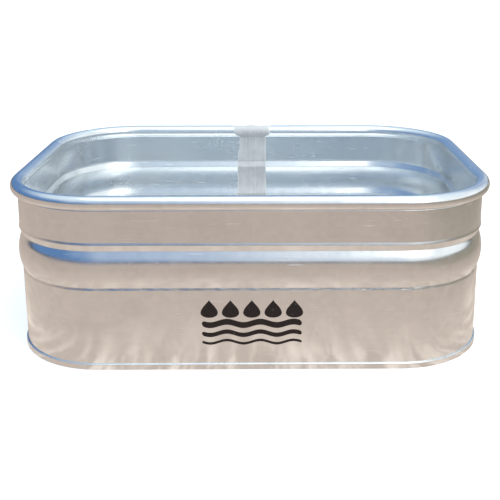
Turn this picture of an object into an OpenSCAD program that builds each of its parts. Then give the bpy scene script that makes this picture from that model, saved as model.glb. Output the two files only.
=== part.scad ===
// Galvanised steel livestock water trough.
// A rolled wall sheet is double seamed to a floor pan, and its top edge is curled round a steel tube.
// Origin: centre of the footprint, on the ground. X runs along the length, Y to the back, Z up.

/* [Overall] */
// Length over the rolled rim
tank_length = 914; // [700:1:1300]
// Width over the rolled rim
tank_width = 650; // [500:1:900]
// Height from the ground to the top of the rim
tank_height = 328; // [260:1:620]
// Plan radius of the corners, over the rim
corner_radius = 182; // [120:1:230]

/* [Sheet] */
// Thickness of the wall sheet
wall_gauge = 0.85; // [0.6:0.05:1.2]
// Thickness of the floor pan sheet
pan_gauge = 0.85; // [0.6:0.05:1.2]

/* [Rolled rim] */
// Outer diameter of the roll
roll_diameter = 26; // [20:0.5:32]
// Wall thickness of the tube inside the roll
rim_tube_wall = 1.2; // [0.8:0.1:2]
// Radial clearance between the roll and the tube
roll_clearance = 0.2; // [0.1:0.05:0.4]
// Angle of the free edge of the roll, below the horizontal
roll_edge_angle = 72; // [50:1:76]
// Bend radius between the roll and the wall
roll_bend = 3; // [2:0.5:5]
// Length of the sleeve that joins the ends of the tube
tube_sleeve_length = 80; // [50:1:120]
// Gap between the ends of the tube
tube_gap = 1; // [0.5:0.1:3]

/* [Wall beads] */
// Height of the flat band, from the top of the rim down to the upper ledge
upper_band = 86; // [60:1:90]
// How far each small ledge stands out
ledge_depth = 1.3; // [0.6:0.1:2]
// Height of each small ledge
ledge_height = 4.5; // [3:0.5:6]
// Height of the sloping band below the upper ledge
slope_height = 12; // [9:1:16]
// Depth of the valley above the main bead
valley_depth = 4.2; // [3:0.1:6]
// Height of the main bead
bead_height = 69; // [55:1:80]
// How far the main bead bulges from its ends
bead_bulge = 7.4; // [5:0.1:10]
// How far the lower wall is set in from the upper band
lower_step = 2.5; // [1.5:0.1:5]

/* [Double seam] */
// Height of the double seam
seam_height = 11.5; // [9:0.5:15]
// Gap between the folded layers
layer_gap = 0.12; // [0.08:0.01:0.25]
// Thickness of the sealing compound in the seam
compound_thickness = 0.9; // [0.5:0.1:1.5]
// Height of the floor sheet above the ground
floor_height = 10; // [8:0.5:13]
// Bend radius at the edge of the floor
floor_bend = 3; // [2:0.5:5]

/* [Wall seam] */
// Width of the overlapped end of the wall sheet
lap_width = 17; // [12:1:25]
// Offset of the lap from the middle of the back wall
lap_offset = -4; // [-20:1:20]
// Width of the zinc coat on the inner face of the seam
inner_coat_width = 80; // [50:1:110]
// Width of the zinc coat on the outer face of the seam
outer_coat_width = 56; // [40:1:80]
// Thickness of the zinc coat
coat_thickness = 0.3; // [0.2:0.05:0.5]

/* [Drain] */
// Height of the drain's axis
drain_height = 54; // [50:1:70]
// Radius of the drain's threaded bore
drain_bore_r = 20.8; // [15:0.1:22]
// Wall thickness of the fitting's barrel
barrel_wall = 5.2; // [4:0.1:6]
// Thickness of the fitting's inner flange
flange_thickness = 3.5; // [2.5:0.1:5]
// How far the flange reaches out past the barrel
flange_reach = 8; // [6:0.5:9]
// Thickness of the rubber gasket under the flange
gasket_thickness = 2; // [1.5:0.1:3]
// Thickness of the washer under the locknut
washer_thickness = 1; // [0.6:0.1:1.5]
// Thickness of the locknut
locknut_thickness = 5.5; // [5:0.1:7]
// Width across the flats of the locknut
locknut_flats = 64; // [62:1:70]
// Thickness of the plug's own gasket
plug_gasket_thickness = 1.5; // [1:0.1:2]
// Thickness of the plug's round collar
plug_collar_thickness = 2.2; // [2:0.1:3]
// Height of the plug's hexagon
plug_hex_height = 4.5; // [3:0.1:5.5]
// Width across the flats of the plug's hexagon
plug_hex_flats = 38; // [30:1:42]
// Length of the plug's thread inside the barrel
plug_thread_length = 12; // [9:0.1:12.5]
// Wall thickness of the cored plug
plug_core_wall = 4.5; // [3:0.1:6]
// Radial clearance between mating threads
thread_clearance = 0.08; // [0.05:0.01:0.1]
// Clearance between the barrel and the hole in the wall
hole_clearance = 0.5; // [0.3:0.1:1]

/* [Hidden] */
$fn = 96;

roll_r = roll_diameter / 2;
roll_z = tank_height - roll_r;                  // height of the roll's centre
roll_mid_r = roll_r - wall_gauge / 2;           // radius of the sheet's middle in the roll
rim_tube_r = roll_r - wall_gauge - roll_clearance;
rim_bore_r = rim_tube_r - rim_tube_wall;

// The sheet's middle plane in the upper band stands under the middle of the roll. Profiles are
// measured outwards from that plane, u, and up from the ground, z.
half_x = tank_length / 2 - roll_r;
half_y = tank_width / 2 - roll_r;
plan_r = corner_radius - roll_r;

// Heights of the wall's beads, from the top down
ledge_top = tank_height - upper_band;
ledge_tip = ledge_top - ledge_height;
valley_z = ledge_tip - slope_height;
bead_end = valley_z - bead_height;
lower_top = bead_end - ledge_height;
groove_u = -lower_step - ledge_depth;           // the main bead ends in a groove above the lower wall

// Double seam: from the inside, the pan's riser, the wall, the pan's hook, the wall's hook, the pan's skirt
layer = (wall_gauge + pan_gauge) / 2 + layer_gap;
wall_u = -lower_step;
riser_u = wall_u - layer;
pan_hook_u = wall_u + layer;
wall_hook_u = wall_u + 2 * layer;
skirt_u = wall_u + 3 * layer;
hook_end_gap = 0.3;
compound_top = pan_gauge + compound_thickness;
wall_fold_z = compound_top + layer_gap + layer + wall_gauge / 2;
pan_fold_z = seam_height - layer - pan_gauge / 2;
foot_bend = 1.3;                                // middle radius of the two bends at the foot
floor_lap = 14;                                 // width of the floor's rim in the pan's edge profile

// Drain: places along X, from the inner face of the wall outwards
wall_outer_x = half_x - lower_step + wall_gauge / 2;
wall_inner_x = wall_outer_x - wall_gauge;
flange_x = wall_inner_x - gasket_thickness - flange_thickness;
barrel_r = drain_bore_r + barrel_wall;
flange_r = barrel_r + flange_reach;
barrel_end_x = wall_outer_x + washer_thickness + locknut_thickness;
collar_x = barrel_end_x + plug_gasket_thickness;
hex_x = collar_x + plug_collar_thickness;
plug_thread_r = drain_bore_r - thread_clearance;
plug_collar_r = barrel_r - 0.5;
edge_break = 0.8;                               // chamfer on the moulded parts

function unit(v) = v / norm(v);
function reversed(path) = [for (i = [len(path) - 1 : -1 : 0]) path[i]];
function arc(centre, r, from, to, steps) =
    [for (i = [0 : steps]) let (a = from + (to - from) * i / steps) centre + r * [cos(a), sin(a)]];

// Mitred normal of a path at point i, on the right of the way it runs
function side_of(path, i) =
    let (last = len(path) - 1,
         before = unit(path[max(i, 1)] - path[max(i, 1) - 1]),
         after = unit(path[min(i + 1, last)] - path[min(i, last - 1)]),
         mean = unit(before + after))
    [mean[1], -mean[0]] / (mean * before);
function shifted(path, by) = [for (i = [0 : len(path) - 1]) path[i] + by * side_of(path, i)];

// Closed outline of a layer that lies between two distances from a path
function between(path, near, far) = concat(shifted(path, near), reversed(shifted(path, far)));
function sheet(path, gauge) = between(path, -gauge / 2, gauge / 2);

// The bend that carries the sheet from the roll into the wall
bend_drop = sqrt(pow(roll_mid_r + roll_bend, 2) - pow(roll_bend, 2));
bend_angle = atan2(bend_drop, roll_bend);
bend_centre = [-roll_bend, roll_z - bend_drop];

// Main bead: an arc through both its ends and its crown
bead_top = [-valley_depth, valley_z];
bead_foot = [groove_u, bead_end];
bead_chord = norm(bead_top - bead_foot);
bead_r = (pow(bead_chord / 2, 2) + pow(bead_bulge, 2)) / (2 * bead_bulge);
bead_lean = atan2(bead_top[0] - bead_foot[0], bead_top[1] - bead_foot[1]);
bead_half_angle = asin(bead_chord / 2 / bead_r);
bead_centre = (bead_top + bead_foot) / 2 - (bead_r - bead_bulge) * [cos(bead_lean), -sin(bead_lean)];

// Middle line of the rolled rim, from the roll's free edge over the top and down to the wall
roll_steps = 30;
roll_span = 180 + bend_angle + roll_edge_angle;
crown_step = ceil((90 + roll_edge_angle) / roll_span * roll_steps);
roll_path = concat(
    arc([0, roll_z], roll_mid_r, -roll_edge_angle, 180 + bend_angle, roll_steps),
    arc(bend_centre, roll_bend, bend_angle - 18, 0, 3));

// Middle line of the wall below the roll, down to just above the double seam
wall_path = concat(
    [[0, ledge_top + 1],
     [ledge_depth * 0.5, ledge_top - ledge_height * 0.5],
     [ledge_depth, ledge_tip],
     [ledge_depth * 0.5, ledge_tip - slope_height * 0.16],
     [-valley_depth * 0.8, valley_z + slope_height * 0.16]],
    arc(bead_centre, bead_r, bead_half_angle - bead_lean, -bead_half_angle - bead_lean, 12),
    [[groove_u + ledge_depth * 0.5, bead_end - ledge_height * 0.5],
     [wall_u, lower_top]]);

// Middle line of the wall's hook in the double seam
wall_hook_path = concat(
    arc([pan_hook_u, wall_fold_z], layer, 180, 360, 6),
    [[wall_hook_u, pan_fold_z - hook_end_gap]]);

// Middle line of the pan's edge, from its hook over the wall's hook, under the seam and into the floor
pan_path = concat(
    [[pan_hook_u, wall_fold_z + hook_end_gap]],
    arc([wall_hook_u, pan_fold_z], layer, 180, 0, 6),
    arc([skirt_u - foot_bend, pan_gauge / 2 + foot_bend], foot_bend, 0, -90, 4),
    arc([riser_u + foot_bend, pan_gauge / 2 + foot_bend], foot_bend, -90, -180, 4),
    arc([riser_u - floor_bend, floor_height - floor_bend], floor_bend, 0, 90, 5),
    [[riser_u - floor_bend - floor_lap, floor_height]]);

// The inner face that the coat covers, from the crown of the roll down to the floor's bend
coat_path = concat(
    [for (i = [crown_step : len(roll_path) - 1]) roll_path[i]],
    wall_path,
    [[wall_u, floor_height + floor_bend]]);
outer_coat_path = concat(
    [[0, roll_z - roll_r - roll_bend]],
    wall_path,
    [[wall_u, seam_height + 1]]);

// Carries a profile of (u, z) round the plan: four straights and four corners
module round_the_plan() {
    for (i = [0 : 3]) rotate([0, 0, 90 * i]) {
        out = i % 2 == 0 ? half_x : half_y;
        along = i % 2 == 0 ? half_y : half_x;
        translate([out, 0, 0])
            rotate([90, 0, 0])
                linear_extrude(height = 2 * (along - plan_r), center = true)
                    children();
        translate([out - plan_r, along - plan_r, 0])
            rotate_extrude(angle = 90)
                translate([plan_r, 0])
                    children();
    }
}

// Carries a profile of (u, z) along the back wall, from x = from to x = to
module along_back(from, to) {
    translate([(from + to) / 2, half_y, 0])
        rotate([90, 0, 90])
            linear_extrude(height = to - from, center = true)
                children();
}

// Plan outline of the tank, moved outwards by u
module plan_outline(u) {
    r = plan_r + u;
    for (x = [-1, 1], y = [-1, 1])
        translate([x * (half_x - plan_r), y * (half_y - plan_r)])
            circle(r = r);
    square([2 * (half_x + u), 2 * (half_y - plan_r)], center = true);
    square([2 * (half_x - plan_r), 2 * (half_y + u)], center = true);
}

// Puts a piece that was made along Z on the drain's axis, starting at x
module on_drain(x) {
    translate([x, 0, drain_height])
        rotate([0, 90, 0])
            children();
}

module ring(outer, inner, thickness) {
    difference() {
        cylinder(r = outer, h = thickness);
        translate([0, 0, -1])
            cylinder(r = inner, h = thickness + 2);
    }
}

module hexagon(flats, height) {
    cylinder(r = flats / 2 / cos(30), h = height, $fn = 6);
}

// Wall sheet with its rolled rim, beads, overlapped end and lower hook
module side_wall() {
    color([0.74, 0.75, 0.76])
    difference() {
        union() {
            round_the_plan()
                polygon(sheet(concat(roll_path, wall_path, wall_hook_path), wall_gauge));
            along_back(lap_offset - lap_width / 2, lap_offset + lap_width / 2)
                polygon(between(coat_path, wall_gauge / 2, wall_gauge * 3 / 2));
        }
        on_drain(wall_inner_x - 1)
            cylinder(r = barrel_r + hole_clearance, h = wall_gauge + 2);
    }
}

// Floor sheet with the riser, foot and skirt that lock round the wall's hook
module floor_pan() {
    color([0.72, 0.73, 0.74])
    union() {
        round_the_plan()
            polygon(sheet(pan_path, pan_gauge));
        translate([0, 0, floor_height - pan_gauge / 2])
            linear_extrude(height = pan_gauge)
                plan_outline(riser_u - floor_bend - floor_lap / 2);
    }
}

// Sealing compound under the wall's fold, in the trough of the pan's foot
module seam_compound() {
    inner_bend = [riser_u + foot_bend, pan_gauge / 2 + foot_bend];
    outer_bend = [skirt_u - foot_bend, pan_gauge / 2 + foot_bend];
    bead_bend = foot_bend - pan_gauge / 2 - layer_gap;
    color([0.45, 0.46, 0.44])
    round_the_plan()
        polygon(concat(
            [[inner_bend[0] - bead_bend, compound_top]],
            arc(inner_bend, bead_bend, 180, 270, 3),
            arc(outer_bend, bead_bend, 270, 360, 3),
            [[outer_bend[0] + bead_bend, compound_top]]));
}

// Steel tube inside the rolled rim, with its ends meeting at the back
module rim_tube() {
    color([0.55, 0.56, 0.58])
    difference() {
        round_the_plan()
            translate([0, roll_z])
                difference() {
                    circle(r = rim_tube_r);
                    circle(r = rim_bore_r);
                }
        translate([-tube_gap / 2, half_y - roll_r, roll_z - roll_r])
            cube([tube_gap, roll_diameter, roll_diameter]);
    }
}

// Short sleeve inside the two ends of the rim tube
module rim_tube_sleeve() {
    sleeve_r = rim_bore_r - 0.05;
    color([0.5, 0.5, 0.52])
    translate([-tube_sleeve_length / 2, half_y, roll_z])
        rotate([0, 90, 0])
            ring(sleeve_r, sleeve_r - rim_tube_wall, tube_sleeve_length);
}

// Zinc coat brushed over the lap on the inner face: it steps up over the overlapped end
module seam_coat_inner() {
    lap_left = lap_offset - lap_width / 2;
    lap_right = lap_offset + lap_width / 2;
    left = lap_offset - inner_coat_width / 2;
    right = lap_offset + inner_coat_width / 2;
    face = wall_gauge / 2;
    lap_face = wall_gauge * 3 / 2;
    shoulder = 1.5;
    color([0.78, 0.78, 0.79])
    union() {
        along_back(left, lap_left)
            polygon(between(coat_path, face, face + coat_thickness));
        along_back(lap_left - shoulder, lap_left)
            polygon(between(coat_path, face, lap_face + coat_thickness));
        along_back(lap_left - shoulder, lap_right + shoulder)
            polygon(between(coat_path, lap_face, lap_face + coat_thickness));
        along_back(lap_right, lap_right + shoulder)
            polygon(between(coat_path, face, lap_face + coat_thickness));
        along_back(lap_right, right)
            polygon(between(coat_path, face, face + coat_thickness));
    }
}

// Zinc coat brushed down the outer face of the seam
module seam_coat_outer() {
    color([0.78, 0.78, 0.79])
    along_back(lap_offset - outer_coat_width / 2, lap_offset + outer_coat_width / 2)
        polygon(between(outer_coat_path, -wall_gauge / 2, -wall_gauge / 2 - coat_thickness));
}

// Drain fitting: a flange inside the wall and a threaded barrel through it
module drain_fitting() {
    length = barrel_end_x - flange_x;
    color([0.16, 0.16, 0.17])
    on_drain(flange_x)
        difference() {
            union() {
                cylinder(r1 = flange_r - edge_break, r2 = flange_r, h = edge_break);
                translate([0, 0, edge_break])
                    cylinder(r = flange_r, h = flange_thickness - edge_break);
                cylinder(r = barrel_r, h = length);
            }
            translate([0, 0, -1])
                cylinder(r = drain_bore_r, h = length + 2);
        }
}

// Rubber gasket between the flange and the inner face of the wall
module drain_gasket() {
    color([0.08, 0.08, 0.08])
    on_drain(wall_inner_x - gasket_thickness)
        ring(flange_r - 0.5, barrel_r + hole_clearance, gasket_thickness);
}

// Flat washer between the outer face of the wall and the locknut
module drain_washer() {
    color([0.7, 0.7, 0.72])
    on_drain(wall_outer_x)
        ring(locknut_flats / 2 + 1.5, barrel_r + hole_clearance, washer_thickness);
}

// Hexagonal locknut on the outside of the barrel
module drain_locknut() {
    color([0.16, 0.16, 0.17])
    on_drain(wall_outer_x + washer_thickness)
        difference() {
            hexagon(locknut_flats, locknut_thickness);
            translate([0, 0, -1])
                cylinder(r = barrel_r + thread_clearance, h = locknut_thickness + 2);
        }
}

// Cored drain plug with a collar and a hexagon for a wrench
module drain_plug() {
    thread_x = barrel_end_x - plug_thread_length;
    core_r = plug_thread_r - plug_core_wall;
    core_depth = plug_thread_length - 1;
    color([0.12, 0.12, 0.13])
    difference() {
        union() {
            on_drain(thread_x)
                cylinder(r1 = plug_thread_r - edge_break, r2 = plug_thread_r, h = edge_break);
            on_drain(thread_x + edge_break)
                cylinder(r = plug_thread_r, h = collar_x - thread_x - edge_break);
            on_drain(collar_x)
                cylinder(r = plug_collar_r, h = plug_collar_thickness);
            on_drain(hex_x)
                hexagon(plug_hex_flats, plug_hex_height);
        }
        on_drain(thread_x - 1)
            cylinder(r = core_r, h = core_depth + 1);
    }
}

// Rubber gasket under the plug's collar
module drain_plug_gasket() {
    color([0.08, 0.08, 0.08])
    on_drain(barrel_end_x)
        ring(plug_collar_r - 0.5, plug_thread_r + thread_clearance, plug_gasket_thickness);
}

side_wall();
floor_pan();
seam_compound();
rim_tube();
rim_tube_sleeve();
seam_coat_inner();
seam_coat_outer();
drain_fitting();
drain_gasket();
drain_washer();
drain_locknut();
drain_plug();
drain_plug_gasket();
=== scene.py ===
import math

import bmesh
import bpy
import numpy as np
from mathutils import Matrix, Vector


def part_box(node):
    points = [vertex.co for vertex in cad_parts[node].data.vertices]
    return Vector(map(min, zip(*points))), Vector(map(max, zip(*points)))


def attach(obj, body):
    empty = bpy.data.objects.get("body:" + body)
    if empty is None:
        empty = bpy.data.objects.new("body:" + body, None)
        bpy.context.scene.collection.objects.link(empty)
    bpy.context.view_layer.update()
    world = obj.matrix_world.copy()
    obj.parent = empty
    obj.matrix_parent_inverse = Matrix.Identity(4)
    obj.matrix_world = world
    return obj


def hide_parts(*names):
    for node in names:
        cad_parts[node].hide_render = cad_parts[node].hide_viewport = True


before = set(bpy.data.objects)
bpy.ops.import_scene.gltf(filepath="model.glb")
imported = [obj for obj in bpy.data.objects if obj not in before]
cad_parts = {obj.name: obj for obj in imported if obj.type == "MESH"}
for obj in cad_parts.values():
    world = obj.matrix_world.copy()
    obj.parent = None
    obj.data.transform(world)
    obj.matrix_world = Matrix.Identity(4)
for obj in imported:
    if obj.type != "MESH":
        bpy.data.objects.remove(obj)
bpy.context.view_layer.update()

mm = 0.001
scene = bpy.context.scene
scene.view_settings.view_transform = "Standard"
print("frame loaded:", len(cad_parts), "nodes")

tubeLow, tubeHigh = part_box("rim_tube")
tubeRadius = (tubeHigh.z - tubeLow.z) / 2

tank = {
    "rollRadius": 13 * mm,
    "rollZ": (tubeHigh.z + tubeLow.z) / 2,
    "halfX": tubeHigh.x - tubeRadius,       # from the middle to the middle plane of the upper wall
    "halfY": tubeHigh.y - tubeRadius,
    "planRadius": 169 * mm,                 # corner radius of that plane
    "sheet": 0.85 * mm,
    "layer": 0.97 * mm,                     # pitch of the folded layers in the double seam
    "lowerStep": 2.5 * mm,                  # how far the lower wall is set in
    "cornerSteps": 34,
    "straightStep": 9 * mm,
    "creaseAngle": 40,                      # edges that turn by more stay crisp
}
rimTop = tank["rollZ"] + tank["rollRadius"]


def arcPoints(centre, radius, start, end, count):
    # points on a circle, from one angle to another, in degrees
    angle = np.radians(np.linspace(start, end, count))
    return np.stack([centre[0] + radius * np.cos(angle), centre[1] + radius * np.sin(angle)], 1)


def rounded(points, radius, count):
    # each inner point of a polyline gives way to an arc that touches both its legs
    pieces = [np.array(points[:1], float)]
    for before, here, after in zip(points[:-2], points[1:-1], points[2:]):
        before, here, after = (np.array(p, float) for p in (before, here, after))
        inDir = (here - before) / np.linalg.norm(here - before)
        outDir = (after - here) / np.linalg.norm(after - here)
        turn = math.acos(float(np.clip(inDir @ outDir, -1, 1)))
        shorter = min(np.linalg.norm(here - before), np.linalg.norm(after - here))
        reach = min(radius * math.tan(turn / 2), 0.48 * shorter)
        t = np.linspace(0, 1, count)[:, None]
        start, end = here - inDir * reach, here + outDir * reach
        pieces.append(start * (1 - t) ** 2 + 2 * here * t * (1 - t) + end * t ** 2)
    pieces.append(np.array(points[-1:], float))
    return np.concatenate(pieces)


def densified(path, step):
    # extra points on the long straight legs of a path
    pieces = []
    for a, b in zip(path[:-1], path[1:]):
        count = max(1, int(math.ceil(np.linalg.norm(b - a) / step)))
        pieces.append(a + (b - a) * np.linspace(0, 1, count, endpoint=False)[:, None])
    return np.concatenate(pieces + [path[-1:]])


def pathNormals(path):
    # unit normals on the right of the way the path runs, from the mean of the legs on both sides
    leg = np.diff(path, axis=0)
    leg /= np.linalg.norm(leg, axis=1)[:, None]
    mean = np.concatenate([leg[:1], leg[:-1] + leg[1:], leg[-1:]])
    mean /= np.linalg.norm(mean, axis=1)[:, None]
    return np.stack([mean[:, 1], -mean[:, 0]], 1)


def planStations():
    # stations round the plan: a centre and an outward direction each, so that a point at u is
    # centre + (planRadius + u) * direction
    insetX, insetY = tank["halfX"] - tank["planRadius"], tank["halfY"] - tank["planRadius"]
    corners = [(insetX, insetY), (-insetX, insetY), (-insetX, -insetY), (insetX, -insetY)]
    centres, directions = [], []
    for index, corner in enumerate(corners):
        angle = np.radians(np.linspace(90 * index, 90 * index + 90, tank["cornerSteps"]))
        centres.append(np.tile(np.array(corner), (tank["cornerSteps"], 1)))
        directions.append(np.stack([np.cos(angle), np.sin(angle)], 1))
        after = np.array(corners[(index + 1) % 4])
        count = int(round(np.linalg.norm(after - corner) / tank["straightStep"]))
        t = np.linspace(0, 1, count + 1)[1:-1, None]
        centres.append(np.array(corner) * (1 - t) + after * t)
        directions.append(np.tile(directions[-1][-1], (count - 1, 1)))
    return np.concatenate(centres), np.concatenate(directions)


stationCentre, stationDirection = planStations()


waves = {
    "seed": 11,
    "longHeight": 0.9 * mm,
    "longCounts": (3, 5, 8, 11, 17),        # waves in one round of the plan
    "pleatHeight": 0.42 * mm,
    "pleatCounts": (34, 47, 61, 89),
    "pleatReach": 24 * mm,                  # the pleats die out this far up the wall
    "nickHeight": 0.36 * mm,
    "nickCounts": (53, 97, 151, 229),
    "nickZ": 154 * mm,                      # the lower ledge
    "nickReach": 5 * mm,
    "seamTop": 11.5 * mm,
    "drainZ": 54 * mm,
    "drainCalm": 36 * mm,                   # the sheet is true round the drain
    "drainEase": 30 * mm,
    "rimCalm": 20 * mm,                     # and from this far below the roll's centre upwards
    "rimEase": 30 * mm,
    "seamEase": 10 * mm,
    "pleatEase": 6 * mm,
}


def sheetWaves(x, y, z):
    # how far the rolled sheet stands off its true surface, as sums of sines of the turn about the middle:
    # long oil-can waves, short pleats above the double seam, and nicks along the lower ledge
    turn = np.arctan2(y / tank["halfY"], x / tank["halfX"])
    draw = np.random.default_rng(waves["seed"])
    below = np.clip((tank["rollZ"] - waves["rimCalm"] - z) / waves["rimEase"], 0, 1)
    body = below * np.clip((z - waves["seamTop"]) / waves["seamEase"], 0, 1)
    fromDrain = np.hypot(y, z - waves["drainZ"]) + np.where(x > 0, 0, 1)
    calm = np.clip((fromDrain - waves["drainCalm"]) / waves["drainEase"], 0, 1)
    long, pleat, nick = (np.zeros_like(z * turn) for _ in range(3))
    for count in waves["longCounts"]:
        phase, lift, size = draw.uniform(0, 6.28), draw.uniform(8, 26), draw.uniform(0.5, 1)
        long += size / count * np.sin(count * turn + phase + lift * z)
    for count in waves["pleatCounts"]:
        phase, size = draw.uniform(0, 6.28), draw.uniform(0.6, 1)
        pleat += size * np.sin(count * turn + phase + 1.7 * np.sin(3 * turn + phase))
    for count in waves["nickCounts"]:
        nick += draw.uniform(0.5, 1) * np.sin(count * turn + draw.uniform(0, 6.28))
    foot = np.exp(-np.maximum(z - waves["seamTop"], 0) / waves["pleatReach"])
    foot = foot * np.clip((z - waves["seamTop"]) / waves["pleatEase"], 0, 1)
    foot = foot * (1 + 0.5 * np.cos(turn + 0.6))
    ledge = np.exp(-((z - waves["nickZ"]) / waves["nickReach"]) ** 2) * (1 + 0.8 * np.cos(turn + 0.9))
    height = body * waves["longHeight"] * long + foot * waves["pleatHeight"] * pleat
    return calm * (height + ledge * waves["nickHeight"] * nick)


def makeObject(name, points, faces, share=None):
    # a mesh from an array of points and an array of quads, with doubles merged; share is a value for each
    # point, kept as the attribute that the coat's finish reads
    mesh = bpy.data.meshes.new(name)
    mesh.from_pydata(points.reshape(-1, 3).tolist(), [], faces.tolist())
    if share is not None:
        mesh.attributes.new("across", "FLOAT", "POINT").data.foreach_set("value", share.ravel())
    work = bmesh.new()
    work.from_mesh(mesh)
    bmesh.ops.remove_doubles(work, verts=work.verts, dist=1e-7)
    work.to_mesh(mesh)
    work.free()
    mesh.validate()
    mesh.polygons.foreach_set("use_smooth", np.full(len(mesh.polygons), True))
    piece = bpy.data.objects.new(name, mesh)
    scene.collection.objects.link(piece)
    return piece


def gridFaces(rows, columns, wrapRows, wrapColumns, skipColumns=()):
    # quads between neighbours of a grid of rows x columns
    r = np.arange(rows if wrapRows else rows - 1)
    c = np.array([k for k in range(columns if wrapColumns else columns - 1) if k not in skipColumns])
    r, c = np.meshgrid(r, c, indexing="ij")
    here, ahead = r * columns, (r + 1) % rows * columns
    beside = (c + 1) % columns
    return np.stack([here + c, ahead + c, ahead + beside, here + beside], -1).reshape(-1, 4)


def stripFaces(rows, columns):
    # a grid whose rows are closed loops, front and back of a flat strip, with both of its ends closed
    k = np.arange(columns // 2 - 1)
    ends = [np.stack([row * columns + k, row * columns + k + 1, row * columns + columns - 2 - k,
                      row * columns + columns - 1 - k], 1) for row in (0, rows - 1)]
    return np.concatenate([gridFaces(rows, columns, False, True)] + ends)


def sharpenBy(piece, degrees):
    # edges that turn by more than the angle stay crisp
    mesh = piece.data
    work = bmesh.new()
    work.from_mesh(mesh)
    for edge in work.edges:
        edge.smooth = len(edge.link_faces) != 2 or edge.calc_face_angle(0) < math.radians(degrees)
    work.to_mesh(mesh)
    work.free()


def outwards(piece):
    # all faces turned to point out of the closed shell
    work = bmesh.new()
    work.from_mesh(piece.data)
    bmesh.ops.recalc_face_normals(work, faces=work.faces)
    work.to_mesh(piece.data)
    work.free()


class Wire:
    # a node's output; arithmetic on it adds Math nodes
    def __init__(self, paint, socket):
        self.paint = paint
        self.socket = socket

    def maths(self, operation, *others):
        values = dict(enumerate((self,) + others))
        return self.paint.node("ShaderNodeMath", {"operation": operation}, values)

    def __add__(self, other):
        return self.maths("ADD", other)

    def __sub__(self, other):
        return self.maths("SUBTRACT", other)

    def __mul__(self, other):
        return self.maths("MULTIPLY", other)

    def __rsub__(self, other):
        return self.paint.node("ShaderNodeMath", {"operation": "SUBTRACT"}, {0: other, 1: self})

    __radd__ = __add__
    __rmul__ = __mul__

    def between(self, low, high):
        # 0 below low, 1 above high, smooth in the middle
        settings = {"interpolation_type": "SMOOTHSTEP"}
        sockets = {"Value": self, "From Min": low, "From Max": high}
        return self.paint.node("ShaderNodeMapRange", settings, sockets)


class Paint:
    # one node tree and the ways to add to it
    def __init__(self, name, world=False):
        owner = bpy.data.worlds.new(name) if world else bpy.data.materials.new(name)
        owner.use_nodes = True
        self.owner = owner
        self.tree = owner.node_tree
        self.tree.nodes.clear()
        self.end = self.tree.nodes.new("ShaderNodeOutputWorld" if world else "ShaderNodeOutputMaterial")

    def node(self, kind, settings={}, sockets={}, output=0):
        # a node of a kind, with its settings first, then its sockets' values or links
        made = self.tree.nodes.new(kind)
        for key, value in settings.items():
            if key == "stops":
                ramp = made.color_ramp
                while len(ramp.elements) < len(value):
                    ramp.elements.new(1)
                for stop, (place, colour) in zip(ramp.elements, value):
                    stop.position = place
                    stop.color = (*colour, 1)
            else:
                setattr(made, key, value)
        for key, value in sockets.items():
            if isinstance(value, Wire):
                self.tree.links.new(value.socket, made.inputs[key])
            else:
                made.inputs[key].default_value = value
        return Wire(self, made.outputs[output])

    def place(self, scale):
        # Object coordinates, stretched by a scale along each axis
        here = self.node("ShaderNodeTexCoord", output="Object")
        return self.node("ShaderNodeMapping", sockets={"Vector": here, "Scale": scale})

    def noise(self, scale, size, detail=3, rough=0.5):
        # soft noise from about 0.3 to 0.7
        sockets = {"Vector": self.place(scale), "Scale": size, "Detail": detail, "Roughness": rough}
        return self.node("ShaderNodeTexNoise", sockets=sockets)

    def mix(self, factor, first, second):
        # colour mix; inputs 6 and 7 are the two colours
        first, second = ((*c, 1) if isinstance(c, tuple) else c for c in (first, second))
        return self.node("ShaderNodeMix", {"data_type": "RGBA"}, {0: factor, 6: first, 7: second}, output=2)

    def bump(self, height, distance, strength=1.0, below=None):
        # a normal tilted by the slope of height, on top of the normal below it
        sockets = {"Height": height, "Distance": distance, "Strength": strength}
        if below is not None:
            sockets["Normal"] = below
        return self.node("ShaderNodeBump", sockets=sockets)

    def finish(self, sockets):
        # the principled shader, and the finished material
        shader = self.node("ShaderNodeBsdfPrincipled", sockets=sockets)
        self.tree.links.new(shader.socket, self.end.inputs["Surface"])
        return self.owner


zinc = {
    "light": (0.90, 0.91, 0.915),
    "dark": (0.80, 0.815, 0.83),
    "stain": (0.70, 0.69, 0.67),
    "bright": (0.98, 0.98, 0.96),
    # painted sky tint: the paler, bluish colour of inward faces stands for the sky light that fills the
    # inside
    "dustBloomAndSkyTint": (0.84, 0.89, 0.90),
    "insideDiffuse": 0.16,
    "rough": 0.085,
    "spangleSize": 95,
    "coatDark": (0.68, 0.665, 0.645),
    "coatLight": (0.82, 0.805, 0.78),
    "coatThin": (0.90, 0.90, 0.87),
}


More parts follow.
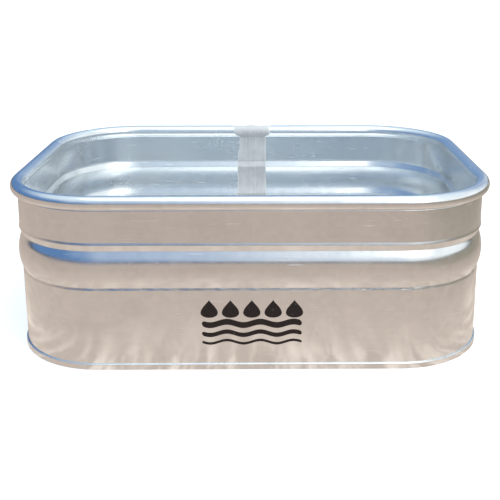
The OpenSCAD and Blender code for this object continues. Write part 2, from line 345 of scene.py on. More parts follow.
def galvanised(name, roughness, grain, across=(0, 0, 1)):
    # bright zinc: small spangle cells, fine rolling lines along the sheet, a few dull patches and scratches;
    # faces that look inwards, where the outward part of the normal is negative, get a painted paler, bluish
    # colour that stands for the sky light filling the inside, and a rougher, partly diffuse finish; across is
    # the direction square to the rolling lines
    paint = Paint(name)
    cells = paint.node("ShaderNodeTexVoronoi", {"feature": "F1"},
                       {"Vector": paint.place((1, 1, 1)), "Scale": zinc["spangleSize"]}, output="Color")
    cell = paint.node("ShaderNodeSeparateColor", sockets={"Color": cells})
    clouds = paint.noise((1, 1, 1), 5, 4)
    lines = paint.noise(tuple(3 + 417 * c for c in across), 1, 2)
    streaks = paint.noise((26, 26, 2.2), 1, 3)
    patches = paint.noise((1, 1, 1.6), 11, 3, 0.5).between(0.52, 0.80)
    here = paint.node("ShaderNodeTexCoord", output="Object")
    flat = paint.node("ShaderNodeVectorMath", {"operation": "MULTIPLY"}, {0: here, 1: (1, 1, 0)})
    facing = paint.node("ShaderNodeNewGeometry", output="Normal")
    dot = {"operation": "DOT_PRODUCT"}
    outward = paint.node("ShaderNodeVectorMath", dot, {0: flat, 1: facing}, output="Value")
    inside = 1 - outward.between(-0.12, 0.0)
    shade = cell * 0.12 + clouds * 0.5 + streaks * 0.22 + lines * 0.16
    metal = paint.mix(shade.between(0.28, 0.72), zinc["dark"], zinc["light"])
    metal = paint.mix(patches * 0.3, metal, zinc["stain"])
    scratches = paint.noise(tuple(17 + 313 * c for c in across), 1, 1).between(0.735, 0.76)
    metal = paint.mix(scratches, metal, zinc["bright"])
    # painted light: inward faces are mixed half way to a paler, bluish colour, standing for sky light filling
    # the inside
    metal = paint.mix(inside * 0.5, metal, zinc["dustBloomAndSkyTint"])
    rough = roughness + cell * 0.03 + clouds * 0.08 + lines * 0.03 + streaks * 0.05
    rough = rough + patches * 0.05 + scratches * 0.25 + inside * 0.06
    ripples = paint.noise((1, 1, 0.5), 16, 2)
    relief = paint.bump(lines * 0.5 + streaks * 0.5, 0.012 * mm, grain)
    relief = paint.bump(ripples, 0.35 * mm, 0.5, relief)
    relief = paint.bump(clouds, 0.9 * mm, 0.5, relief)
    shine = 1 - inside * zinc["insideDiffuse"]
    return paint.finish({"Base Color": metal, "Metallic": shine, "Roughness": rough, "Normal": relief})


def zincCoat():
    # matte zinc-rich coat brushed on: grey with brush lines, brighter where it thins out at its edges
    paint = Paint("zincCoat")
    place = paint.node("ShaderNodeAttribute", {"attribute_name": "across"}, output="Fac")
    brush = paint.noise((240, 240, 9), 1, 4)
    mottle = paint.noise((1, 1, 1), 38, 5, 0.6)
    across = (place - 0.5).maths("ABSOLUTE")
    thin = (across + mottle * 0.05).between(0.47, 0.515)
    shade = (brush * 0.35 + mottle * 0.65).between(0.3, 0.7)
    body = paint.mix(shade, zinc["coatDark"], zinc["coatLight"])
    colour = paint.mix(thin, body, zinc["coatThin"])
    relief = paint.bump(brush * 0.4 + mottle * 0.6, 0.2 * mm, 0.5)
    return paint.finish({"Base Color": colour, "Metallic": 0.2, "Roughness": 0.55 + mottle * 0.2,
                         "Normal": relief})


def moulded(name, base, rough):
    # glass-filled plastic: fine moulded texture, slight swirl in the colour
    paint = Paint(name)
    swirl = paint.noise((1, 1, 1), 60, 4, 0.6)
    fine = paint.noise((1, 1, 1), 1500, 2)
    pale = tuple(min(1, c * 1.9 + 0.012) for c in base)
    colour = paint.mix(swirl.between(0.35, 0.75), base, pale)
    return paint.finish({"Base Color": colour, "Roughness": rough + swirl * 0.14,
                         "Normal": paint.bump(fine + swirl, 0.06 * mm, 0.6)})


def rubber():
    # matte black rubber with a dusty bloom
    paint = Paint("rubber")
    dustBloomAndSkyTint = paint.noise((1, 1, 1), 90, 5, 0.65)
    colour = paint.mix(dustBloomAndSkyTint.between(0.4, 0.75), (0.018, 0.018, 0.018), (0.07, 0.068, 0.064))
    return paint.finish({"Base Color": colour, "Roughness": 0.72 + dustBloomAndSkyTint * 0.15,
                         "Normal": paint.bump(dustBloomAndSkyTint, 0.12 * mm, 0.5)})


def compound():
    # set sealing compound: grey-green, lumpy
    paint = Paint("compound")
    lumps = paint.noise((1, 1, 1), 220, 4)
    colour = paint.mix(lumps, (0.22, 0.23, 0.21), (0.38, 0.39, 0.36))
    return paint.finish({"Base Color": colour, "Roughness": 0.6 + lumps * 0.2,
                         "Normal": paint.bump(lumps, 0.2 * mm, 0.6)})


def printedInk():
    # screen-printed ink: near black, slightly worn in specks where the zinc shows
    paint = Paint("printedInk")
    wear = paint.noise((1, 1, 1), 260, 5, 0.7).between(0.63, 0.72)
    film = paint.noise((1, 1, 1), 45, 3)
    ink = paint.mix(film, (0.016, 0.010, 0.008), (0.030, 0.019, 0.016))
    colour = paint.mix(wear * 0.45, ink, (0.42, 0.38, 0.35))
    return paint.finish({"Base Color": colour, "Roughness": 0.5 + film * 0.15, "Specular IOR Level": 0.2,
                         "Metallic": wear * 0.4, "Normal": paint.bump(film, 0.05 * mm, 0.3)})


wallZinc = galvanised("wallZinc", zinc["rough"], 0.5)
floorZinc = galvanised("floorZinc", zinc["rough"] + 0.06, 0.7, (0, 1, 0.2))
millSteel = galvanised("millSteel", 0.34, 0.8)
platedSteel = galvanised("platedSteel", 0.24, 0.6)
coatPaint = zincCoat()
blackPlastic = moulded("blackPlastic", (0.032, 0.032, 0.034), 0.38)
plugPlastic = moulded("plugPlastic", (0.024, 0.024, 0.026), 0.32)
blackRubber = rubber()
seamCompound = compound()
inkPaint = printedInk()
print("materials made")


def dress(piece, material, body, slot, *nodes):
    # one finish, one body, and the nodes that the piece stands for; slot is not used
    piece.data.materials.clear()
    piece.data.materials.append(material)
    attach(piece, body)
    if nodes:
        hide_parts(*nodes)
    return piece


wall = {
    "rollFree": -72,            # angle of the roll's free edge
    "rollBend": 3 * mm,
    "ledgeTop": rimTop - 86 * mm,
    "ledgeDepth": 1.05 * mm,
    "ledgeHeight": 4.5 * mm,
    "slopeHeight": 12 * mm,
    "valleyDepth": 4.2 * mm,
    "beadHeight": 69 * mm,
    "beadBulge": 7.4 * mm,
    "creaseRadius": 1.1 * mm,
    "foldZ": 3.265 * mm,        # where the wall's edge turns under in the double seam
    "hookTop": 9.8 * mm,
}


def rollLine():
    # C-shaped arc round the tube, then a small reverse bend into the wall
    mid = tank["rollRadius"] - tank["sheet"] / 2
    bend = wall["rollBend"]
    drop = math.sqrt((mid + bend) ** 2 - bend ** 2)
    angle = math.degrees(math.atan2(drop, bend))
    roll = arcPoints((0, tank["rollZ"]), mid, wall["rollFree"], 180 + angle, 54)
    turn = arcPoints((-bend, tank["rollZ"] - drop), bend, angle - 12, 0, 6)
    return np.concatenate([roll, turn])


def wallLine():
    # upper band, small ledge, slope into the valley, arched main bead, lower ledge, lower wall
    ledgeTip = wall["ledgeTop"] - wall["ledgeHeight"]
    valleyZ = ledgeTip - wall["slopeHeight"]
    beadFoot = valleyZ - wall["beadHeight"]
    footU = -tank["lowerStep"] - wall["ledgeDepth"]
    top, foot = np.array([-wall["valleyDepth"], valleyZ]), np.array([footU, beadFoot])
    chord = np.linalg.norm(top - foot)
    radius = ((chord / 2) ** 2 + wall["beadBulge"] ** 2) / (2 * wall["beadBulge"])
    lean = math.atan2(top[0] - foot[0], top[1] - foot[1])
    half = math.degrees(math.asin(chord / 2 / radius))
    centre = (top + foot) / 2 - (radius - wall["beadBulge"]) * np.array([math.cos(lean), -math.sin(lean)])
    bead = arcPoints(centre, radius, half - math.degrees(lean), -half - math.degrees(lean), 26)
    lowerTop = beadFoot - wall["ledgeHeight"]
    upper = rounded([(0, tank["rollZ"] - 17 * mm), (0, wall["ledgeTop"]), (wall["ledgeDepth"], ledgeTip),
                     tuple(bead[0]), tuple(bead[3])], wall["creaseRadius"], 6)[:-1]
    lower = rounded([tuple(bead[-4]), tuple(bead[-1]), (-tank["lowerStep"], lowerTop),
                     (-tank["lowerStep"], wall["foldZ"])], wall["creaseRadius"], 6)[1:]
    return densified(np.concatenate([upper, bead[4:-4], lower]), 9 * mm)


def hookLine():
    # the wall's lower edge turns outwards and up between the pan's layers
    middle = (-tank["lowerStep"] + tank["layer"], wall["foldZ"])
    turn = arcPoints(middle, tank["layer"], 190, 360, 8)
    return np.concatenate([turn, [[middle[0] + tank["layer"], wall["hookTop"]]]])


def carried(path, shift):
    # a line of (u, z), moved by shift along its normals, carried round the plan: stations x points x 3
    line = path + shift * pathNormals(path)
    flat = stationCentre[:, None, :] + (tank["planRadius"] + line[None, :, :1]) * stationDirection[:, None, :]
    z = np.broadcast_to(line[None, :, 1:], flat.shape[:2] + (1,))
    points = np.concatenate([flat, z], 2)
    wave = sheetWaves(points[..., 0], points[..., 1], points[..., 2])
    points[..., :2] += wave[..., None] * stationDirection[:, None, :]
    return points


def makeWall():
    # the middle line of the sheet, moved half a sheet to each side and joined at both cut edges
    path = np.concatenate([rollLine(), wallLine(), hookLine()])
    inner, outer = carried(path, tank["sheet"] / 2), carried(path, -tank["sheet"] / 2)
    points = np.concatenate([inner, outer[:, ::-1]], 1)
    piece = makeObject("wallSheet", points, gridFaces(points.shape[0], points.shape[1], True, True))
    outwards(piece)
    return piece


def cutHole(piece, axisZ, radius, fromX, toX):
    # a round hole through the wall for the drain, cut with a cylinder of many sides
    sides = drain["segments"]
    angle = np.linspace(0, 2 * math.pi, sides + 1)[:-1]
    ring = np.stack([np.zeros(sides), radius * np.cos(angle), axisZ + radius * np.sin(angle)], 1)
    points = np.stack([ring + (fromX, 0, 0), ring + (toX, 0, 0)], 1)
    cutter = makeObject("cutter", points, gridFaces(sides, 2, True, False))
    work = bmesh.new()
    work.from_mesh(cutter.data)
    bmesh.ops.holes_fill(work, edges=work.edges)
    bmesh.ops.recalc_face_normals(work, faces=work.faces)
    work.to_mesh(cutter.data)
    work.free()
    cut = piece.modifiers.new("hole", "BOOLEAN")
    cut.operation, cut.object, cut.solver = "DIFFERENCE", cutter, "EXACT"
    bpy.context.view_layer.update()
    result = bpy.data.meshes.new_from_object(piece.evaluated_get(bpy.context.evaluated_depsgraph_get()))
    piece.modifiers.clear()
    piece.data = result
    bpy.data.objects.remove(cutter)


fitLow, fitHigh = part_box("drain_fitting")
drain = {
    "z": (fitLow.z + fitHigh.z) / 2,
    "flangeX": fitLow.x,
    "endX": fitHigh.x,
    "flangeR": (fitHigh.z - fitLow.z) / 2,
    "flange": 3.5 * mm,
    "barrelR": 26 * mm,
    "boreR": 20.8 * mm,
    "pitch": 2.209 * mm,
    "threadDepth": 0.95 * mm,
    "threadBand": 0.1 * mm,     # points this near to a thread's radius carry its groove
    "holeClearance": 0.5 * mm,
    "segments": 96,
    "creaseAngle": 38,
}

wallPiece = makeWall()
cutHole(wallPiece, drain["z"], drain["barrelR"] + drain["holeClearance"], drain["flangeX"], drain["endX"])
sharpenBy(wallPiece, tank["creaseAngle"])
dress(wallPiece, wallZinc, "tank", "galvanised_wall", "side_wall")
print("wall sheet made:", len(wallPiece.data.polygons), "faces")

pan = {
    "height": 10 * mm,
    "floorBend": 3 * mm,
    "footBend": 1.3 * mm,
    "hookZ": 10.105 * mm,       # where the pan's edge turns over the wall's hook
    "rings": 26,
    "sag": 0.9 * mm,
    "dent": 0.35 * mm,
    "creaseAngle": 50,
}


def panLine():
    # hook, over the top, skirt, foot, riser, and the bend into the floor
    base = -tank["lowerStep"]
    layer, half = tank["layer"], tank["sheet"] / 2
    riser, skirt = base - layer, base + 3 * layer
    bend, foot = pan["floorBend"], pan["footBend"]
    return np.concatenate([
        [[base + layer, wall["foldZ"] + 0.3 * mm]],
        arcPoints((base + 2 * layer, pan["hookZ"]), layer, 180, 0, 12),
        arcPoints((skirt - foot, half + foot), foot, 0, -90, 8),
        arcPoints((riser + foot, half + foot), foot, -90, -180, 8),
        arcPoints((riser - bend, pan["height"] - bend), bend, 0, 90, 9),
    ])


def panSide(shift):
    # edge carried round the plan, then rings that close in: first to the corner centres, then to the middle
    path = panLine()
    edge = carried(path, shift)
    last = path[-1, 0]
    z = pan["height"] + shift
    spans = np.linspace(last, -tank["planRadius"], pan["rings"] + 1)[1:]
    radius = (tank["planRadius"] + spans)[None, :, None]
    ring = stationCentre[:, None, :] + radius * stationDirection[:, None, :]
    close = 1 - np.linspace(0, 1, pan["rings"] + 1)[1:]
    inner = stationCentre[:, None, :] * close[None, :, None]
    flat = np.concatenate([ring, inner], 1)
    x, y = flat[..., 0], flat[..., 1]
    reach = np.clip(1 - (x / tank["halfX"]) ** 2, 0, 1) * np.clip(1 - (y / tank["halfY"]) ** 2, 0, 1)
    dent = np.sin(11 * x + 1) * np.cos(13 * y) + 0.6 * np.sin(23 * x - 17 * y)
    dish = reach * (pan["dent"] * dent - pan["sag"])
    return np.concatenate([edge, np.concatenate([flat, (z + dish)[..., None]], 2)], 1)


def makePan():
    # both faces of the pan, joined at the hook's cut edge; the column between the two poles is left out
    upper, lower = panSide(tank["sheet"] / 2), panSide(-tank["sheet"] / 2)
    points = np.concatenate([upper, lower[:, ::-1]], 1)
    faces = gridFaces(points.shape[0], points.shape[1], True, True, skipColumns=(upper.shape[1] - 1,))
    piece = makeObject("floorPan", points, faces)
    outwards(piece)
    sharpenBy(piece, pan["creaseAngle"])
    return piece


floorPiece = dress(makePan(), floorZinc, "tank", "galvanised_floor", "floor_pan")
print("floor pan made:", len(floorPiece.data.polygons), "faces")

seam = {
    "lapLeft": -12.5 * mm,
    "lapRight": 4.5 * mm,
    "shoulder": 1.6 * mm,
    "film": 0.3 * mm,
    "left": -40 * mm,
    "right": 30 * mm,
    "outerHalf": 28 * mm,
    "columns": 72,
    "gap": 0.03 * mm,
    "crown": 24,                # first point of the roll's line that carries the coat
    "topDepth": 26 * mm,        # the coat is wider above this depth below the rim's top
    "topEase": 8 * mm,
    "topLeft": 10 * mm,
    "topRight": 13 * mm,
    "waistDepth": 45 * mm,      # and its left edge is drawn in round this one
    "waistReach": 24 * mm,
    "waistLeft": 6 * mm,
    "ragged": 1.6 * mm,
    "feather": 0.05,            # share of the width over which the film thins out at each edge
    "ridge": 0.03 * mm,
    "pathStep": 3 * mm,
    "innerFoot": 3.4 * mm,      # above the floor
    "outerTop": 16 * mm,        # below the roll's centre
    "outerFoot": 12.5 * mm,     # above the ground
}


def closedStrip(name, path, side, xs, raised, sunk, share=None):
    # a strip on the back wall: rows along the path, columns across it at xs; its face is raised along the
    # path's normals, and a sunk copy of it closes the strip behind
    normal = pathNormals(path) * side

    def face(lift):
        u, z = path[:, :1] + normal[:, :1] * lift, path[:, 1:] + normal[:, 1:] * lift
        return np.stack([xs, tank["halfY"] + u + sheetWaves(xs, tank["halfY"] + u, z), z], 2)

    points = np.concatenate([face(raised), face(sunk)[:, ::-1]], 1)
    if share is not None:
        share = np.concatenate([share, share[:, ::-1]], 1)
    piece = makeObject(name, points, stripFaces(*points.shape[:2]), share)
    outwards(piece)
    return piece


def ragged(place, seed, size):
    # a brushed edge: a sum of sines, from slow wander to quick bristle marks
    draw = np.random.default_rng(seed)
    edge = np.zeros_like(place)
    for count, part in ((18, 1.0), (41, 0.6), (97, 0.4), (230, 0.3), (520, 0.2)):
        edge += part * np.sin(count * place + draw.uniform(0, 6.28))
    return edge * size


def lapHeight(xs):
    # 1 over the lap, easing to 0 across its shoulders
    rise = np.clip((xs - seam["lapLeft"]) / seam["shoulder"] + 1, 0, 1)
    fall = np.clip((seam["lapRight"] - xs) / seam["shoulder"] + 1, 0, 1)
    return (3 - 2 * rise) * rise ** 2 * (3 - 2 * fall) * fall ** 2


def makeCoat(name, path, side, left, right, overLap):
    # film thickness: nothing at the ragged edges, full inside, with brush ridges and the lap's step beneath
    step = np.concatenate([[0], np.cumsum(np.linalg.norm(np.diff(path, axis=0), axis=1))])
    leftEdge = left + ragged(step, 3, seam["ragged"])
    rightEdge = right + ragged(step, 5, seam["ragged"])
    across = np.linspace(0, 1, seam["columns"])
    xs = leftEdge[:, None] + (rightEdge - leftEdge)[:, None] * across[None, :]
    ease = np.clip(np.minimum(across, 1 - across) / seam["feather"], 0, 1)[None, :]
    ridge = np.sin(xs / mm * 1.9 + 2 * np.sin(step * 31)[:, None])
    ridge = ridge + np.sin(xs / mm * 0.7 + step[:, None] * 60)
    height = tank["sheet"] / 2 + seam["gap"] + (seam["film"] * 0.8 + seam["ridge"] * ridge) * ease
    if overLap:
        height = height + tank["sheet"] * lapHeight(xs)
    height[[0, -1]] = tank["sheet"] / 2
    share = np.tile(across, (len(path), 1))
    return closedStrip(name, path, side, xs, height, np.full_like(xs, tank["sheet"] * 0.1), share)


def makeLap(path):
    # the overlapped end of the sheet: one more sheet on the inner face, its steps just inside the coat
    xs = np.tile(np.linspace(seam["lapLeft"], seam["lapRight"], 8), (len(path), 1))
    raised, sunk = np.full_like(xs, tank["sheet"] * 1.5), np.full_like(xs, tank["sheet"] * 0.2)
    return closedStrip("lapStrip", path, 1, xs, raised, sunk)


def coatEdges(path):
    # left and right edges of the inner coat along the path: wider on the rim, drawn in at the left below it
    depth = rimTop - path[:, 1]
    onTop = np.clip((seam["topDepth"] - depth) / seam["topEase"], 0, 1)
    waist = np.exp(-((depth - seam["waistDepth"]) / seam["waistReach"]) ** 2)
    left = seam["left"] - seam["topLeft"] * onTop + seam["waistLeft"] * waist
    return left, seam["right"] + seam["topRight"] * onTop


innerPath = densified(np.concatenate([rollLine()[seam["crown"]:], wallLine()]), seam["pathStep"])
innerPath = innerPath[innerPath[:, 1] > pan["height"] + seam["innerFoot"]]
lapPiece = makeLap(innerPath[2:])
sharpenBy(lapPiece, tank["creaseAngle"])
dress(lapPiece, wallZinc, "tank", "galvanised_wall")
innerCoat = makeCoat("seamCoatInner", innerPath, 1, *coatEdges(innerPath), True)
dress(innerCoat, coatPaint, "tank", "zinc_coat", "seam_coat_inner")
outerPath = wallLine()
outerZ = outerPath[:, 1]
onWall = (outerZ < tank["rollZ"] - seam["outerTop"]) & (outerZ > seam["outerFoot"])
outerPath = densified(outerPath[onWall], seam["pathStep"])
outerCoat = makeCoat("seamCoatOuter", outerPath, -1, -seam["outerHalf"], seam["outerHalf"], False)
dress(outerCoat, coatPaint, "tank", "zinc_coat", "seam_coat_outer")
print("seam coats made")


def turned(name, outline, loop, thread=None, flats=0, hexFrom=0):
    # an outline of (x, r) turned about the drain's axis; thread gives each point's groove depth, in or out of
    # the material, and the groove is a triangle wave of x / pitch - turn; past hexFrom the radius is cut to a
    # hexagon
    turn = np.linspace(0, 2 * math.pi, drain["segments"], endpoint=False)[:, None]
    x, r = outline[None, :, 0] + 0 * turn, outline[None, :, 1] + 0 * turn
    if thread is not None:
        wave = np.abs(2 * ((x / drain["pitch"] - turn / (2 * math.pi)) % 1) - 1)
        r = r + thread(outline)[None, :] * wave
    if flats:
        side = (turn + math.pi / 6) % (math.pi / 3) - math.pi / 6
        r = np.where(x > hexFrom, np.minimum(r, flats / 2 / np.cos(side)), r)
    points = np.stack([x, r * np.cos(turn), drain["z"] + r * np.sin(turn)], 2)
    skip = () if loop else (len(outline) - 1,)
    piece = makeObject(name, points, gridFaces(len(turn), len(outline), True, True, skip))
    outwards(piece)
    sharpenBy(piece, drain["creaseAngle"])
    return piece


def corners(points, radius=0.5 * mm, count=5):
    # an outline with rounded corners and steps short enough for the thread
    closed = [tuple(p) for p in points]
    return densified(rounded(closed, radius, count), drain["pitch"] / 8)


def ringLoop(x0, x1, inner, outer, radius):
    # a closed outline of a flat ring, from the middle of one face round to the same place
    middle = (inner + outer) / 2
    points = [(x0, middle), (x0, inner), (x1, inner), (x1, outer), (x0, outer), (x0, middle)]
    return corners(points, radius)[:-1]


def window(x, start, end):
    # 1 between start and end, easing to 0 in one pitch
    return np.clip((x - start) / drain["pitch"], 0, 1) * np.clip((end - x) / drain["pitch"], 0, 1)


def fittingThread(outline):
    # grooves cut inwards on the barrel's outside and outwards in its bore, fading in over one pitch
    x, r = outline[:, 0], outline[:, 1]
    depth, band = drain["threadDepth"], drain["threadBand"]
    start = drain["flangeX"] + drain["flange"] + 1 * mm
    outer = (np.abs(r - drain["barrelR"]) < band) * window(x, start, drain["endX"])
    inner = (np.abs(r - drain["boreR"]) < band) * window(x, drain["flangeX"], drain["endX"])
    return depth * inner - depth * outer


def makeFitting():
    # flange inside the tank, barrel through the wall, threads outside and in the bore
    x0, x1, back = drain["flangeX"], drain["endX"], drain["flangeX"] + drain["flange"]
    bore, barrel, rim = drain["boreR"], drain["barrelR"], drain["flangeR"]
    middle = (bore + rim) / 2
    outline = corners([(x0, middle), (x0, bore), (x1, bore), (x1, barrel), (back, barrel), (back, rim),
                       (x0, rim), (x0, middle)])[:-1]
    return turned("drainFitting", outline, True, fittingThread)


def ringPiece(name, node, radius):
    # a plain ring of the node's own size, its bore just clear of the barrel
    low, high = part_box(node)
    inner = drain["barrelR"] + drain["holeClearance"]
    return turned(name, ringLoop(low.x, high.x, inner, (high.z - low.z) / 2, radius), True)


nut = {
    "clearance": 0.08 * mm,
    "faceShare": 0.985,         # radius of the chamfered face, as a share of half the flats
    "chamfer": 1.2 * mm,
    "rounding": 0.35 * mm,
    "threadRunOut": 1 * mm,
}


def nutThread(outline):
    # grooves in the bore, cut outwards, nearly full depth at both faces
    x, r = outline[:, 0], outline[:, 1]
    fade = window(x, x.min() - nut["threadRunOut"], x.max() + nut["threadRunOut"])
    return drain["threadDepth"] * (r < drain["barrelR"] + drain["threadBand"]) * fade


def makeLocknut():
    # a thin hexagon nut, its corners cut back by a chamfer on both faces
    low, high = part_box("drain_locknut")
    bore, flats = drain["barrelR"] + nut["clearance"], min(high.y - low.y, high.z - low.z)
    corner = flats / 2 / math.cos(math.pi / 6)
    face, edge = flats / 2 * nut["faceShare"], nut["chamfer"]
    middle = (bore + face) / 2
    points = [(low.x, middle), (low.x, bore), (high.x, bore), (high.x, face), (high.x - edge, corner),
              (low.x + edge, corner), (low.x, face), (low.x, middle)]
    return turned("drainLocknut", corners(points, nut["rounding"])[:-1], True, nutThread, flats, 0)


plugBody = {
    "threadR": 20.72 * mm,
    "coreR": 16.22 * mm,
    "coreDepth": 11 * mm,
    "collar": 2.2 * mm,
    "hexHeight": 4.5 * mm,
    "flats": 38 * mm,
    "faceShare": 0.96,          # radius of the chamfered face, as a share of half the flats
    "chamfer": 0.9 * mm,
    "dish": 1.1 * mm,           # shallow recess in the end of the hexagon
    "dishRim": 13.5 * mm,
    "dishFloor": 12.5 * mm,
    "rounding": 0.4 * mm,
    "gasketGap": 0.03 * mm,
}


def plugGroove(outline):
    # grooves cut inwards on the thread's outside, fading out towards the collar
    x, r = outline[:, 0], outline[:, 1]
    fade = window(x, x.min(), drain["endX"])
    return -drain["threadDepth"] * (np.abs(r - plugBody["threadR"]) < drain["threadBand"]) * fade


def makePlug():
    # hollow thread, collar, chamfered hexagon with a shallow dish
    low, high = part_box("drain_plug")
    collarFace = high.x - plugBody["hexHeight"]
    collarBack = collarFace - plugBody["collar"]
    corner = plugBody["flats"] / 2 / math.cos(math.pi / 6)
    face = plugBody["flats"] / 2 * plugBody["faceShare"]
    coreEnd = low.x + plugBody["coreDepth"]
    core, crest, collarR = plugBody["coreR"], plugBody["threadR"], (high.z - low.z) / 2
    dishX = high.x - plugBody["dish"]
    points = [(coreEnd, 0), (coreEnd, core), (low.x, core), (low.x, crest), (collarBack, crest),
              (collarBack, collarR), (collarFace, collarR), (collarFace, corner),
              (high.x - plugBody["chamfer"], corner), (high.x, face), (high.x, plugBody["dishRim"]),
              (dishX, plugBody["dishFloor"]), (dishX, 0)]
    outline = corners(points, plugBody["rounding"])
    return turned("drainPlug", outline, False, plugGroove, plugBody["flats"], collarFace - 0.01 * mm)


def makePlugGasket():
    # just thinner than the gap between the barrel's end and the plug's collar
    low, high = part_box("drain_plug_gasket")
    gap = plugBody["gasketGap"]
    inner, outer = drain["boreR"] + gap, (high.z - low.z) / 2
    return turned("plugGasket", ringLoop(low.x + gap, high.x - gap, inner, outer, plugBody["rounding"]), True)


dress(makeFitting(), blackPlastic, "tank", "drain_plastic", "drain_fitting")
gasketPiece = ringPiece("drainGasket", "drain_gasket", 0.5 * mm)
dress(gasketPiece, blackRubber, "tank", "gasket_rubber", "drain_gasket")
washerPiece = ringPiece("drainWasher", "drain_washer", 0.2 * mm)
dress(washerPiece, platedSteel, "tank", "washer_steel", "drain_washer")
dress(makeLocknut(), blackPlastic, "tank", "drain_plastic", "drain_locknut")
dress(makePlug(), plugPlastic, "plug", "plug_plastic", "drain_plug")
dress(makePlugGasket(), blackRubber, "plug_gasket", "gasket_rubber", "drain_plug_gasket")
print("drain made")

mark = {
    "centre": 3 * mm,
    "half": 90 * mm,
    "dropZ": 117 * mm,
    "dropHalf": 17 * mm,
    "drops": 5,
    "waves": ((89 * mm, 11.5 * mm), (70 * mm, 8.5 * mm), (53.5 * mm, 5 * mm)),      # height and stroke
    "swing": 3.2 * mm,
    "film": 0.07 * mm,
    "stripSteps": 181,
    "dropSteps": 64,
    "dropSpread": 0.85,         # place of the outer drops, as a share of half
    "dropWidth": 1.3,
    "dropPoint": 1.5,           # the higher, the sharper the drop's tip
    "dropLow": 0.35,            # how far the drop's pole stands below its middle
}


def inkPatch(x, z):
    # a thin film over a grid of (x, z), on the front wall's outer face
    y = -(tank["halfY"] - tank["lowerStep"] + tank["sheet"] / 2)
    y = y - sheetWaves(x, np.full_like(x, y), z)
    front = np.stack([x, y - mark["film"], z], 2)
    back = np.stack([x, y + mark["film"], z], 2)
    return front, back


def inkStrip(front, back):
    # front and back joined round the long edges, and closed at both ends
    points = np.concatenate([front, back[:, ::-1]], 1)
    return points, stripFaces(*points.shape[:2])


def inkDrop(front, back):
    # rings about a pole: front from the middle out, back from the rim to the middle
    points = np.concatenate([front, back[:, ::-1]], 1)
    rows, columns = points.shape[:2]
    return points, gridFaces(rows, columns, True, True, (columns - 1,))


def makeMark():
    # three rippled lines, z + swing * sine, with rounded ends, and a row of drops over them, whose half-width
    # is sine of the turn times a power of the sine of half the turn
    parts = []
    for z, stroke in mark["waves"]:
        along = np.linspace(-mark["half"], mark["half"], mark["stripSteps"])[:, None]
        wide = np.linspace(-0.5, 0.5, 6)[None, :]
        past = ((np.abs(along) - mark["half"]) / (stroke / 2) + 1).clip(0, 1)
        taper = np.sqrt(np.clip(1 - past ** 2, 0.02, 1))
        ripple = mark["swing"] * np.sin(along / mark["half"] * 3 * math.pi)
        height = z + ripple + stroke * wide * taper
        parts.append(inkStrip(*inkPatch(mark["centre"] + along + 0 * wide, height)))
    for index in range(mark["drops"]):
        turn = np.linspace(0, 2 * math.pi, mark["dropSteps"], endpoint=False)[:, None]
        ring = np.linspace(0, 1, 9)[None, :]
        middle = mark["centre"] + mark["half"] * mark["dropSpread"] * (2 * index / (mark["drops"] - 1) - 1)
        across = mark["dropWidth"] * mark["dropHalf"] * np.sin(turn) * np.sin(turn / 2) ** mark["dropPoint"]
        up = mark["dropHalf"] * (np.cos(turn) + mark["dropLow"]) * ring - mark["dropLow"] * mark["dropHalf"]
        parts.append(inkDrop(*inkPatch(middle + across * ring, mark["dropZ"] + up)))
    points, faces, base = [], [], 0
    for part, quads in parts:
        points.append(part.reshape(-1, 3))
        faces.append(quads + base)
        base += len(points[-1])
    piece = makeObject("printedMark", np.concatenate(points), np.concatenate(faces))
    outwards(piece)
    sharpenBy(piece, tank["creaseAngle"])
    return piece


dress(makeMark(), inkPaint, "tank", "printed_ink")
print("printed mark made")

carriedOver = {"rim_tube": millSteel, "rim_tube_sleeve": millSteel, "seam_compound": seamCompound}
for node, material in carriedOver.items():
    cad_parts[node].data.materials.clear()
    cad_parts[node].data.materials.append(material)

light = {
    "sky": (0.11, 0.23, 0.46),
    "haze": (0.93, 0.98, 1.0),
    "zenith": (0.80, 0.93, 1.0),
    "skyline": (0.05, 0.05, 0.042),
    # painted ground light for mirror rays: brighter near the tank, darker far off, glints, and shade to the
    # right
    "groundNear": (0.66, 0.555, 0.48),
    "groundFar": (0.55, 0.46, 0.40),
    "groundGlint": (1.15, 1.02, 0.90),
    "groundShade": (0.30, 0.28, 0.22),
    "pale": (0.86, 0.86, 0.85),
    "lift": 0.46,
    "skyStrength": 1.1,
    "floorHalf": 30,
    "floorGap": 0.2 * mm,       # the floor lies this far below the tank's foot
    "overhead": {"place": (0.3, -0.6, 3.2), "aim": (0, 0, 0), "size": 2.6, "power": 32},
    "front": {"place": (1.6, -3.0, 2.0), "aim": (0, 0, 0.15), "size": 1.8, "power": 22},
}


def makeSky():
    # blue on the left and behind, hazy white ahead and to the right, a dark skyline, white to the camera
    paint = Paint("studioSky", world=True)
    ray = paint.node("ShaderNodeTexCoord", output="Generated")
    x, y, z = (paint.node("ShaderNodeSeparateXYZ", sockets={0: ray}, output=axis) for axis in range(3))
    cloud = paint.node("ShaderNodeTexNoise", sockets={"Vector": ray, "Scale": 2.6, "Detail": 4})
    haze = (x * 0.65 - y * 0.2 + cloud * 1.3 - 0.62).between(-0.3, 0.75)
    colour = paint.mix(haze, light["sky"], light["haze"])
    colour = paint.mix(z.between(0.35, 0.9) * 0.85, colour, light["zenith"])
    colour = paint.mix(z.between(0.02, 0.075), light["skyline"], colour)
    seen = paint.node("ShaderNodeLightPath", output="Is Camera Ray")
    around = paint.node("ShaderNodeBackground", sockets={"Color": colour, "Strength": light["skyStrength"]})
    plain = paint.node("ShaderNodeBackground", sockets={"Color": (1, 1, 1, 1), "Strength": 1.0})
    both = paint.node("ShaderNodeMixShader", sockets={0: seen, 1: around, 2: plain})
    paint.tree.links.new(both.socket, paint.end.inputs["Surface"])
    scene.world = paint.owner


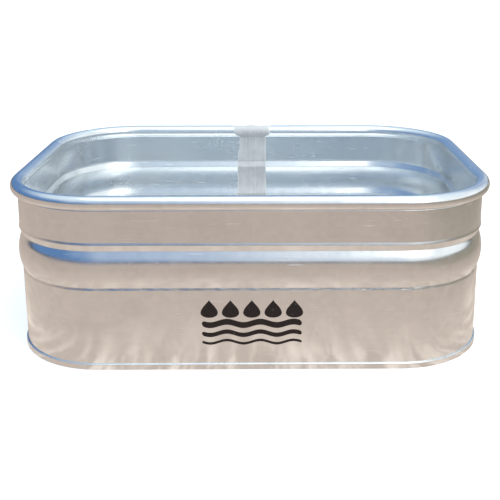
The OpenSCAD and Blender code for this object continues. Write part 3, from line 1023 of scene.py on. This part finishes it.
def makeFloor():
    # a wide pale floor; mirror rays see it glow as warm ground, with painted light brighter near the tank,
    # painted glints, and painted shade to the far right
    half = light["floorHalf"]
    points = np.array([[-half, -half, 0], [half, -half, 0], [half, half, 0], [-half, half, 0]], float)
    floor = makeObject("studioFloor", points - (0, 0, light["floorGap"]), np.array([[0, 1, 2, 3]]))
    paint = Paint("studioFloor")
    here = paint.node("ShaderNodeTexCoord", output="Object")
    x, y = (paint.node("ShaderNodeSeparateXYZ", sockets={0: here}, output=axis) for axis in range(2))
    away = (x * x * 0.5 + y * y).maths("SQRT")
    patches = paint.noise((1, 1, 1), 7, 5, 0.6)
    distance = (away + patches * 0.5 - 0.25).between(0.3, 1.1)
    ground = paint.mix(distance, light["groundNear"], light["groundFar"])
    glint = paint.noise((1, 0.14, 1), 34, 3, 0.6).between(0.42, 0.66) * (1 - away.between(0.33, 0.6))
    ground = paint.mix(glint * 0.8, ground, light["groundGlint"])
    ground = paint.mix((x + patches * 0.5).between(0.7, 1.9) * 0.8, ground, light["groundShade"])
    mirrored = paint.node("ShaderNodeLightPath", output="Is Glossy Ray")
    seen = paint.node("ShaderNodeLightPath", output="Is Camera Ray")
    plain = paint.node("ShaderNodeBsdfDiffuse", sockets={"Color": (*light["pale"], 1)})
    lift = paint.node("ShaderNodeEmission", sockets={"Color": (1, 1, 1, 1), "Strength": seen * light["lift"]})
    pale = paint.node("ShaderNodeAddShader", sockets={0: plain, 1: lift})
    # the floor glows for mirror rays only, its painted ground light standing in for sunlit ground
    warm = paint.node("ShaderNodeEmission", sockets={"Color": ground, "Strength": 1.0})
    both = paint.node("ShaderNodeMixShader", sockets={0: mirrored, 1: pale, 2: warm})
    paint.tree.links.new(both.socket, paint.end.inputs["Surface"])
    floor.data.materials.append(paint.owner)


def makeLamp(name, place, aim, size, power):
    # a square soft light at a place, turned towards a point
    lamp = bpy.data.lights.new(name, "AREA")
    lamp.shape, lamp.size, lamp.energy = "SQUARE", size, power
    holder = bpy.data.objects.new(name, lamp)
    holder.location = place
    holder.rotation_euler = (Vector(aim) - Vector(place)).to_track_quat("-Z", "Y").to_euler()
    scene.collection.objects.link(holder)


makeSky()
makeFloor()
makeLamp("overheadSoft", **light["overhead"])
makeLamp("frontSoft", **light["front"])

view = {
    "place": (23 * mm, -1709.7 * mm, 729.2 * mm),
    "pitch": 0.225,
    "yaw": 0.0095,
    "lens": 60.34,
    "sensor": 36,
    "shift": (-0.0408, -0.2),
}
camera = bpy.data.cameras.new("camera")
camera.lens, camera.sensor_width = view["lens"], view["sensor"]
camera.shift_x, camera.shift_y = view["shift"]
holder = bpy.data.objects.new("camera", camera)
holder.location = view["place"]
holder.rotation_euler = (math.pi / 2 - view["pitch"], 0, -view["yaw"])
scene.collection.objects.link(holder)
scene.camera = holder
print("stage made")
